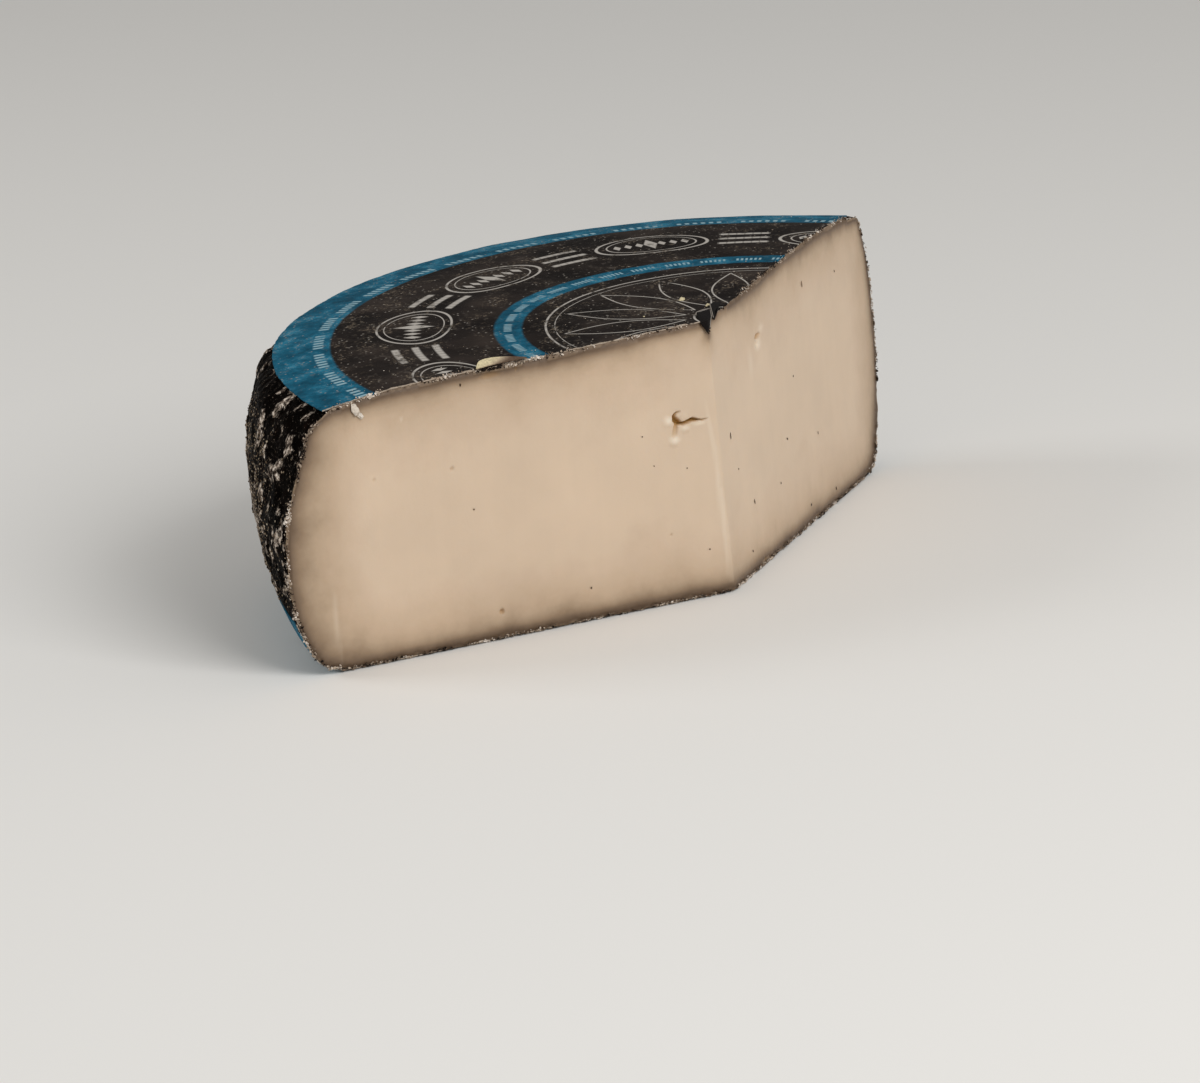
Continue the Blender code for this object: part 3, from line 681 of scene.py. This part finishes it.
def inTear(face):
    along, height, out = onFace("left", face.center)
    low, high, bottom, top = tear["window"]
    return isPaste(face) and abs(out) < 0.001 and low < along * 1000.0 < high and bottom < height * 1000.0 < top


pickFaces(body, nearMark)
bpy.ops.mesh.subdivide(number_cuts=2)
closeMesh()
pickFaces(body, inTear)
bpy.ops.mesh.subdivide(number_cuts=3)
closeMesh()

for face in body.data.polygons:
    face.material_index = 0 if isPaste(face) else 1
pasteVertices = {index for face in body.data.polygons if face.material_index == 0 for index in face.vertices}
skinVertices = {index for face in body.data.polygons if face.material_index == 1 for index in face.vertices}
rim = sorted(pasteVertices & skinVertices)
awayFromRim = kdtree.KDTree(len(rim))
for number, index in enumerate(rim):
    awayFromRim.insert(body.data.vertices[index].co, number)
awayFromRim.balance()


def labelRadiusAt(point):
    return (point - wheel["centre"]).xy.length


def bareShare(vertex):
    # 1 on the open rind, 0 on the paste and under the labels
    if vertex.index not in skinVertices:
        return 0.0
    past = 1.0
    if vertex.normal.z > 0.3:
        past = smooth((labelRadiusAt(vertex.co) - wheel["labelRadius"]) / 0.002)
    above = smooth((vertex.co.z - cheese["underReach"]) / 0.003)
    return past * above * (0.45 + 0.55 * smooth(awayFromRim.find(vertex.co)[2] / 0.002))


def topShare(vertex):
    high = vertex.normal.z > 0.6 or (vertex.index in rim and vertex.co.z > 0.06)
    return 1.0 - smooth((labelRadiusAt(vertex.co) - wheel["labelRadius"] + 0.0005) / 0.001) if high else 0.0


def footShare(vertex):
    return 1.0 if vertex.co.z < 0.0012 else 0.0


def wrapShare(vertex):
    # the lower rind, out to the paper that goes up round it
    if vertex.index not in skinVertices or vertex.co.z < 0.0012:
        return 0.0
    return 1.0 - smooth((vertex.co.z - cheese["underReach"] - 0.001) / 0.004)


rim = set(rim)
weigh(body, "bare", bareShare)
weigh(body, "underTop", topShare)
weigh(body, "foot", footShare)
weigh(body, "wrap", wrapShare)
finishWith(body, "DISPLACE", direction="Z", strength=cheese["lift"], mid_level=0.0, vertex_group="underTop")
finishWith(body, "DISPLACE", direction="Z", strength=-cheese["lift"], mid_level=0.0, vertex_group="foot")
finishWith(body, "DISPLACE", strength=cheese["footLift"], mid_level=0.0, vertex_group="wrap")
roughen(body, "bare", "CLOUDS", *cheese["lumps"], noise_depth=2)
roughen(body, "bare", "VORONOI", *cheese["crust"], noise_intensity=1.0)
roughen(body, "bare", "CLOUDS", *cheese["pits"], noise_depth=3)


def mouldAt(point):
    # flaked patches, longer up the rind than along it, and more of them next to the left cut
    spot = Vector(p / s for p, s in zip(point, cheese["mouldSize"]))
    patches = noise.fractal(spot, 0.8, 2.0, 2)
    broad = noise.noise(point / 0.035)
    rare = 0.22 * smooth((-onFace("left", point)[2] - 0.02) / 0.03)
    mould = smooth((patches + 0.5 * broad + 0.03 - rare) / 0.5)
    fromCentre = (point - wheel["centre"]).xy
    if fromCentre.x < 0.0:
        heading = math.degrees(math.atan2(fromCentre.y, fromCentre.x))
        for middle, level, wide, tall in flakes:
            across = math.radians(heading - middle) * fromCentre.length * 1000.0
            off = math.hypot(across / wide, (point.z * 1000.0 - level) / tall) + 0.7 * patches
            mould = max(mould, smooth((1.25 - off) / 0.6))
    return mould


def sandAt(point):
    # sandy grains: most at half height, fewer on the shoulder and next to the left cut
    away = -onFace("left", point)[2]
    band = smooth((point.z - 0.006) / 0.014) * smooth((0.066 - point.z) / 0.016)
    uneven = 0.85 + 0.7 * noise.noise(point / 0.018)
    return min(band * uneven * (0.2 + 0.8 * smooth((away - 0.012) / 0.02)), 1.0)


def strokeDepth(stroke, along, height):
    # how deep a torn stroke is at a place of the cut, in mm
    best = 0.0
    for a, b in zip(stroke, stroke[1:]):
        run = Vector((b[0] - a[0], b[1] - a[1]))
        step = Vector((along - a[0], height - a[1]))
        share = min(max(step.dot(run) / run.length_squared, 0.0), 1.0)
        distance = (step - run * share).length
        half = a[2] + (b[2] - a[2]) * share
        deep = a[3] + (b[3] - a[3]) * share
        best = max(best, deep * (1.0 - smooth((distance / half - 0.35) / 0.8)))
    return best


def paleAndHighlightAt(side, along, height):
    # where the paste is painted paler: painted highlights round the tear, under a hole and on the ridge's bevel, and a
    # pale scrape
    best = 0.0
    for where, middle, level, across, up, strength in paleSpotsAndHighlights:
        if where == side:
            off = math.hypot((along - middle) / across, (height - level) / up)
            best = max(best, strength * (1.0 - smooth(off)))
    if side == "left" and along < 6.0:
        best = max(best, strokeDepth(ridgePaintedHighlight, along, height))
    return best


def swellHeight(along, height):
    total = 0.0
    for middle, level, radius, rise in tear["swells"]:
        share = math.hypot(along - middle, height - level) / radius
        if share < 1.0:
            total += rise * (1.0 - share * share) ** 2
    return total


moulds = []
sands = []
torn = []
paleAndHighlightValues = []
outward = [vertex.normal.copy() for vertex in body.data.vertices]
bare = [bareShare(vertex) for vertex in body.data.vertices]
for vertex, normal, share in zip(body.data.vertices, outward, bare):
    depth = 0.0
    mould = 0.0
    sand = 0.0
    pale = 0.0
    isRim = vertex.index in rim
    if vertex.index in pasteVertices and not isRim:
        for side in ("left", "right"):
            along, height, out = (value * 1000.0 for value in onFace(side, vertex.co))
            if abs(out) > 0.6:
                continue
            push = 0.0
            # painted highlights and pale spots of the paste
            pale = max(pale, paleAndHighlightAt(side, along, height))
            if side == "left" and tear["window"][0] < along < tear["window"][1]:
                depth = max(strokeDepth(stroke, along, height) for stroke in tear["strokes"])
                push = swellHeight(along, height) * (1.0 - smooth(depth / 0.5)) - depth
            for where, middle, level, across, up, deep in marks:
                off = math.hypot((along - middle) / across, (height - level) / up)
                if where == side and off < 1.0:
                    push -= deep * (1.0 - off * off)
                    depth = max(depth, deep * (1.0 - off * off) * 0.7)
            if push:
                vertex.co += faceAxes(side)[2] * push / 1000.0
    elif vertex.index in skinVertices and not isRim:
        mould = mouldAt(vertex.co)
        sand = sandAt(vertex.co)
        vertex.co += normal * mould * cheese["mouldRise"] * share
    if isRim:
        mould = mouldAt(vertex.co)
        vertex.co += noise.noise_vector(vertex.co / 0.0013) * cheese["rimJitter"]
    # the deeper, the more ochre: painted shade inside the tear and the holes
    torn.append(min(depth / 1.3, 1.0))
    paleAndHighlightValues.append(pale)
    moulds.append(mould)
    sands.append(sand)
keepValue(body, "mould", moulds)
keepValue(body, "sandy", sands)
keepValue(body, "paleAndPaintedHighlight", paleAndHighlightValues)
keepValue(body, "tornDepth", torn)


def rindDistance(vertex):
    # how far a place of the paste is from the rind, in mm. The dark zone is wider beside the rind's side.
    if vertex.index not in pasteVertices:
        return 0.0
    slow = 0.0
    for side, start, gain in (("left", 0.098, 0.55), ("right", 0.112, 0.25)):
        along, height, out = onFace(side, vertex.co)
        if abs(out) < 0.005:
            slow = max(slow, gain * smooth((along - start) / 0.014) * smooth((0.066 - height) / 0.01))
    # and it is narrower at the top of the corner between the cuts
    corner = (vertex.co - wheel["cornerHigh"]).length
    distance = awayFromRim.find(vertex.co)[2] * 1000.0 * (1.0 + 0.8 * smooth((0.024 - corner) / 0.014))
    return distance - slow * max(distance - 1.2, 0.0)


keepValue(body, "rindDistance", [rindDistance(vertex) for vertex in body.data.vertices])


def keepInside(piece):
    # nothing stands out of the frame's box
    for vertex in piece.data.vertices:
        vertex.co = Vector(min(max(c, low), high) for c, low, high in zip(vertex.co, *cadBox))


def dress(piece, materials, smoothAngle=None):
    keepInside(piece)
    for material in materials:
        piece.data.materials.append(material)
    takeUp(piece)
    if smoothAngle:
        bpy.ops.object.shade_smooth_by_angle(angle=math.radians(smoothAngle))
    piece.select_set(False)
    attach(piece, "root")


body.vertex_groups.clear()
for face in body.data.polygons:
    face.use_smooth = True
dress(body, [pasteMaterial, rindMaterial])
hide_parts("cheese")
print("cheese done:", len(body.data.polygons), "faces")


# The labels: the outer face of the frame's solid, made finer and given the thickness of paper
paper = {
    "thickness": 0.00025,
    "waveSize": 0.018,
    "waveDepth": 0.00022,
    "edgeJitter": 0.00022,
    "edgeWidth": 0.0009,
    "rightEdge": 0.5,
}


def makeSheet(node, name, isOuter, levels):
    sheet = copyOf(node, name)
    pickFaces(sheet, lambda face: not isOuter(face))
    bpy.ops.mesh.delete(type="FACE")
    bpy.ops.mesh.select_all(action="SELECT")
    bpy.ops.mesh.tris_convert_to_quads(face_threshold=math.radians(20.0), shape_threshold=math.radians(40.0))
    closeMesh()
    finishWith(sheet, "SUBSURF", levels=levels, render_levels=levels, boundary_smooth="PRESERVE_CORNERS")
    openMesh(sheet, "EDGE")
    bpy.ops.mesh.select_non_manifold(extend=False)
    closeMesh()
    edges = [(vertex, vertex.normal.copy()) for vertex in sheet.data.vertices if vertex.select]
    for vertex, normal in edges:
        shift = noise.noise_vector(vertex.co / 0.002) * paper["edgeJitter"]
        vertex.co += shift - normal * shift.dot(normal)
    waves = bpy.data.textures.new(name + "Waves", "CLOUDS")
    waves.noise_scale = paper["waveSize"]
    finishWith(sheet, "DISPLACE", texture=waves, strength=paper["waveDepth"], mid_level=1.0)
    finishWith(sheet, "SOLIDIFY", thickness=paper["thickness"], offset=-1.0)
    # 1 along the left cut, less along the right one, falling to 0 within edgeWidth
    keepValue(sheet, "cutEdge", [max(share * (1.0 + onFace(side, vertex.co)[2] / paper["edgeWidth"])
                                     for side, share in (("left", 1.0), ("right", paper["rightEdge"])))
                                 for vertex in sheet.data.vertices])
    return sheet


topLabel = makeSheet("label_top", "topLabel", lambda face: face.normal.z > 0.5, 3)
dress(topLabel, [labelMaterial], 40.0)
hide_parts("label_top")

axle = wheel["centre"] + Vector((0.0, 0.0, under["axleHeight"]))
underLabel = makeSheet("label_bottom", "underLabel",
                       lambda face: face.normal.dot((face.center - axle).normalized()) > 0.25, 2)
dress(underLabel, [underMaterial], 40.0)
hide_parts("label_bottom")
print("labels done:", len(topLabel.data.polygons), len(underLabel.data.polygons), "faces")


# Crumbs, grains and specks: one lump each kind, copied with its own shape and joined in one mesh
def scatter(name, spots, material, roughness, divisions=1):
    bpy.ops.object.select_all(action="DESELECT")
    bpy.ops.mesh.primitive_ico_sphere_add(subdivisions=divisions, radius=1.0)
    lump = bpy.context.active_object
    shape = [vertex.co.copy() for vertex in lump.data.vertices]
    faces = [tuple(face.vertices) for face in lump.data.polygons]
    bpy.data.objects.remove(lump, do_unlink=True)
    points = []
    polygons = []
    tints = []
    for number, (place, up, size, spin, tint) in enumerate(spots):
        turn = up.to_track_quat("Z", "Y").to_matrix() @ Matrix.Rotation(spin, 3, "Z")
        base = len(points)
        shift = Vector((number * 1.37, number * 0.71, number * 0.29))
        for co in shape:
            grown = co * (1.0 + roughness * noise.noise(co * 1.3 + shift))
            points.append(place + turn @ Vector(a * b for a, b in zip(grown, size)))
        polygons += [tuple(base + index for index in face) for face in faces]
        tints += [tint] * len(shape)
    mesh = bpy.data.meshes.new(name)
    mesh.from_pydata(points, [], polygons)
    piece = bpy.data.objects.new(name, mesh)
    bpy.context.scene.collection.objects.link(piece)
    keepValue(piece, "tint", tints)
    dress(piece, [material], 50.0)
    return piece


draw = random.Random(7)
rimPlaces = [(body.data.vertices[index].co.copy(), body.data.vertices[index].normal.copy()) for index in sorted(rim)]
spots = []
while len(spots) < crumbs["onRim"]:
    place, up = draw.choice(rimPlaces)
    crowd = noise.noise(place / crumbs["clusters"])
    onTop = place.z > crumbs["topEdge"]
    if crowd + draw.uniform(-0.45, 0.45) < (0.2 if onTop else -0.05):
        continue
    size = draw.uniform(*crumbs["rimSize"]) * (1.0 if draw.random() < 0.92 else 1.9) * (0.75 if onTop else 1.0)
    stray = Vector((draw.gauss(0.0, 0.3), draw.gauss(0.0, 0.3), draw.gauss(0.0, 0.3))) * 0.001
    stray -= up * max(stray.dot(up), 0.0) * 0.7
    flat = Vector((size * draw.uniform(1.0, 1.7), size * draw.uniform(0.6, 1.0), size * draw.uniform(0.35, 0.8)))
    # the lumps of one stretch are alike: dark with rind here, pale with paste there
    tint = min(max(0.56 + 0.9 * noise.noise(place / 0.004 + Vector((5.0, 0.0, 0.0))) + draw.gauss(0.0, 0.22), 0.0), 1.0)
    spots.append((place + stray, up, flat, draw.uniform(0.0, math.tau), tint))
rimCrumbs = scatter("rimCrumbs", spots, crumbMaterial, 0.8)

bareFaces = [face for face in body.data.polygons
             if face.material_index == 1 and face.center.z > cheese["underReach"]
             and (face.normal.z < 0.5 or labelRadiusAt(face.center) > wheel["labelRadius"])]
spots = []
while len(spots) < grains["count"]:
    face = draw.choice(bareFaces)
    if draw.random() > sandAt(face.center):
        continue
    size = draw.uniform(*grains["size"])
    spots.append((face.center + face.normal * size * 0.3, face.normal.copy(),
                  Vector((size, size * draw.uniform(0.6, 1.0), size * 0.6)), draw.uniform(0.0, math.tau), draw.random()))
rindGrains = scatter("rindGrains", spots, grainMaterial, 0.6)

spots = []
for side, along, height, long, wide, lean in specks["places"]:
    place = facePoint(side, along / 1000.0, height / 1000.0, 0.00005)
    spots.append((place, faceAxes(side)[2], Vector((wide, long, 0.08)) / 1000.0, lean, draw.random()))
knifeSpecks = scatter("knifeSpecks", spots, speckMaterial, 0.5)

# a white crumb on the left cut, in two lumps
spots = []
for along, height, wide, tall, thick, lean in loose["whiteCrumb"]:
    place = facePoint("left", along / 1000.0, height / 1000.0, 0.0003)
    spots.append((place, faceAxes("left")[2], Vector((wide, tall, thick)) / 1000.0, lean, draw.uniform(0.5, 1.0)))
whiteCrumb = scatter("whiteCrumb", spots, whiteMaterial, 0.6, 3)


def topHeight(x, y):
    # the height of the label under a place
    found, spot, _, _ = topLabel.ray_cast(Vector((x, y, 0.2)), Vector((0.0, 0.0, -1.0)))
    return spot.z if found else None


# three crumbs of fresh paste on the label
spots = []
for x, y, size in loose["goldCrumbs"]:
    place = Vector((x, y, 0.0)) / 1000.0
    place.z = topHeight(place.x, place.y)
    spots.append((place, Vector((0.0, 0.0, 1.0)), Vector((size, size * 0.5, size * 0.4)) / 1000.0, 0.4, 1.0))
goldCrumbs = scatter("goldCrumbs", spots, curlMaterial, 0.5, 2)

# crumbs that lie on the label, most of them near the cuts
spots = []
while len(spots) < loose["onLabel"]:
    side = draw.choice(("left", "right"))
    along, inward = draw.uniform(0.002, 0.12), draw.expovariate(1.0 / loose["reach"])
    place = facePoint(side, along, wheel["height"], -inward)
    place.z = topHeight(place.x, place.y) or 0.0
    if place.z:
        size = draw.uniform(*loose["crumbSize"])
        spots.append((place, Vector((0.0, 0.0, 1.0)), Vector((size, size * 0.7, size * 0.5)),
                      draw.uniform(0.0, math.tau), draw.random()))
labelCrumbs = scatter("labelCrumbs", spots, crumbMaterial, 0.6)


# a curl of paste that the knife pushed up onto the label, and the torn corners of the label
def finishSheet(piece, thickness, material, kind, tint=None):
    openMesh(piece)
    bpy.ops.mesh.select_all(action="SELECT")
    bpy.ops.mesh.normals_make_consistent(inside=False)
    closeMesh()
    finishWith(piece, "SUBSURF", levels=2, render_levels=2, subdivision_type=kind)
    finishWith(piece, "SOLIDIFY", thickness=thickness, offset=0.0)
    keepValue(piece, "tint", [tint(vertex.co) if tint else 0.5 for vertex in piece.data.vertices])
    dress(piece, [material], 50.0)


def curlPlace(share, row):
    # share runs along the curl, and row from its foot at 0 to its upper edge at 1
    bulge = math.sin(math.pi * share ** curl["blunt"]) ** 0.8 if 0.0 < share < 1.0 else 0.0
    foot = Vector(curl["from"]).lerp(Vector(curl["to"]), share)
    rise = curl["rise"] * bulge * row ** 0.6 + 0.15 * math.sin(math.pi * share)
    return (foot + Vector(curl["lean"]) * bulge * row + Vector((0.0, 0.0, rise))) / 1000.0


def curlPaintedLight(point):
    # painted light: a painted highlight at its blunt end and along its upper edge, and painted shade, darker towards
    # the tip
    share = (point.x * 1000.0 - curl["from"][0]) / (curl["to"][0] - curl["from"][0])
    height = point.z * 1000.0 - curl["from"][2] - 0.45 * share
    return min(max(1.0 - 2.2 * share + 0.75 * height, 0.0), 1.0)


bpy.ops.object.select_all(action="DESELECT")
bpy.ops.mesh.primitive_grid_add(x_subdivisions=curl["steps"], y_subdivisions=2, size=1.0)
pasteCurl = bpy.context.active_object
pasteCurl.name = "pasteCurl"
for vertex in pasteCurl.data.vertices:
    vertex.co = curlPlace(min(vertex.co.x + 0.5, 1.0), max(vertex.co.y + 0.5, 0.0))
finishSheet(pasteCurl, curl["thickness"], curlMaterial, "CATMULL_CLARK", curlPaintedLight)


def onCut(side, along, height, out):
    return facePoint(side, along / 1000.0, height / 1000.0, out / 1000.0) * 1000.0


def tornCorner(name, outline, middle):
    # a scrap of the label bent over the corner: an outline with one point raised inside it, in mm
    bpy.ops.object.select_all(action="DESELECT")
    bpy.ops.mesh.primitive_circle_add(vertices=len(outline), radius=0.001, fill_type="NGON")
    piece = bpy.context.active_object
    piece.name = name
    for vertex, spot in zip(piece.data.vertices, outline):
        vertex.co = Vector(spot) / 1000.0
    openMesh(piece)
    bpy.ops.mesh.select_all(action="SELECT")
    bpy.ops.mesh.poke()
    closeMesh()
    piece.data.vertices[len(outline)].co = Vector(middle) / 1000.0
    finishSheet(piece, paper["thickness"], flapMaterial, "SIMPLE")


tornCorner("cornerFlap", [(-4.9, -55.6, 73.55), (0.2, -56.0, 73.65), onCut("right", 3.8, 73.3, 0.35),
                          onCut("right", 1.2, 70.8, 0.35), onCut("left", 0.1, 69.5, 0.35),
                          onCut("left", 2.0, 72.5, 0.35)], onCut("left", 0.2, 72.9, 0.7))
tornCorner("secondFlap", [(4.6, -52.6, 73.75), (7.2, -53.4, 73.8), onCut("right", 8.4, 73.6, 0.3),
                          onCut("right", 5.2, 71.7, 0.35), onCut("right", 4.1, 73.3, 0.3)], (5.6, -55.0, 73.85))

# the pale fibres of the torn paper along the flaps
fibres = bpy.data.curves.new("tornFibres", "CURVE")
fibres.dimensions = "3D"
fibres.bevel_depth = 0.00012
fibres.bevel_resolution = 1
for line in (
    [(-6.9, -57.0, 73.5), (-4.9, -55.6, 73.75), (-1.9, -55.2, 73.8), (0.2, -56.0, 73.85), onCut("right", 3.0, 73.4, 0.5),
     onCut("right", 1.7, 71.9, 0.5), onCut("right", 1.0, 70.6, 0.5)],
    [(4.4, -52.6, 73.9), onCut("right", 4.1, 73.5, 0.45), onCut("right", 4.3, 72.6, 0.5)],
):
    spline = fibres.splines.new("POLY")
    spline.points.add(len(line) - 1)
    for point, spot in zip(spline.points, line):
        point.co = (*(Vector(spot) / 1000.0), 1.0)
tornFibres = bpy.data.objects.new("tornFibres", fibres)
bpy.context.scene.collection.objects.link(tornFibres)
takeUp(tornFibres)
bpy.ops.object.convert(target="MESH")
tornFibres = bpy.context.active_object
keepValue(tornFibres, "tint", [0.5] * len(tornFibres.data.vertices))
dress(tornFibres, [fibreMaterial], 50.0)
print("crumbs done")


# Camera at the photo's viewing angle: a long lens, 1.35 m away
camera = {
    "place": (-0.97612, -0.85895, 0.35326),
    "turn": (74.912, 2.973, -49.934),
    "lens": 150.0,
}
view = bpy.data.objects.new("camera", bpy.data.cameras.new("camera"))
bpy.context.scene.collection.objects.link(view)
view.location = camera["place"]
view.rotation_euler = [math.radians(angle) for angle in camera["turn"]]
view.data.lens = camera["lens"]
view.data.sensor_width = 36.0
view.data.clip_start = 0.05
bpy.context.scene.camera = view

# Floor and light: a pale plain studio
studio = {
    "floor": "#ebe9e5",
    "sky": "#e9e8e6",
    "skyStrength": 0.46,
}
bpy.ops.mesh.primitive_plane_add(size=8.0, location=(0.0, 0.0, -0.0002))
floor = bpy.context.active_object
floor.name = "floor"
ground, groundTree, groundShader = newMaterial("paleStudioFloor")
groundShader.inputs["Base Color"].default_value = colour(studio["floor"])
groundShader.inputs["Roughness"].default_value = 0.8
floor.data.materials.append(ground)

world = bpy.data.worlds.new("studio")
bpy.context.scene.world = world
world.use_nodes = True
world.node_tree.nodes["Background"].inputs["Color"].default_value = colour(studio["sky"])
world.node_tree.nodes["Background"].inputs["Strength"].default_value = studio["skyStrength"]

lamps = {
    "key": {"place": (-0.25, -1.45, 1.1), "size": 1.0, "power": 20.5},
    "back": {"place": (-0.8, 1.1, 0.9), "size": 0.7, "power": 5.5},
}
for name, lamp in lamps.items():
    light = bpy.data.objects.new(name, bpy.data.lights.new(name, "AREA"))
    bpy.context.scene.collection.objects.link(light)
    light.data.shape = "SQUARE"
    light.data.size = lamp["size"]
    light.data.energy = lamp["power"]
    light.location = lamp["place"]
    light.rotation_euler = (Vector((0.0, 0.0, 0.03)) - light.location).to_track_quat("-Z", "Y").to_euler()
bpy.context.scene.view_settings.view_transform = "Standard"
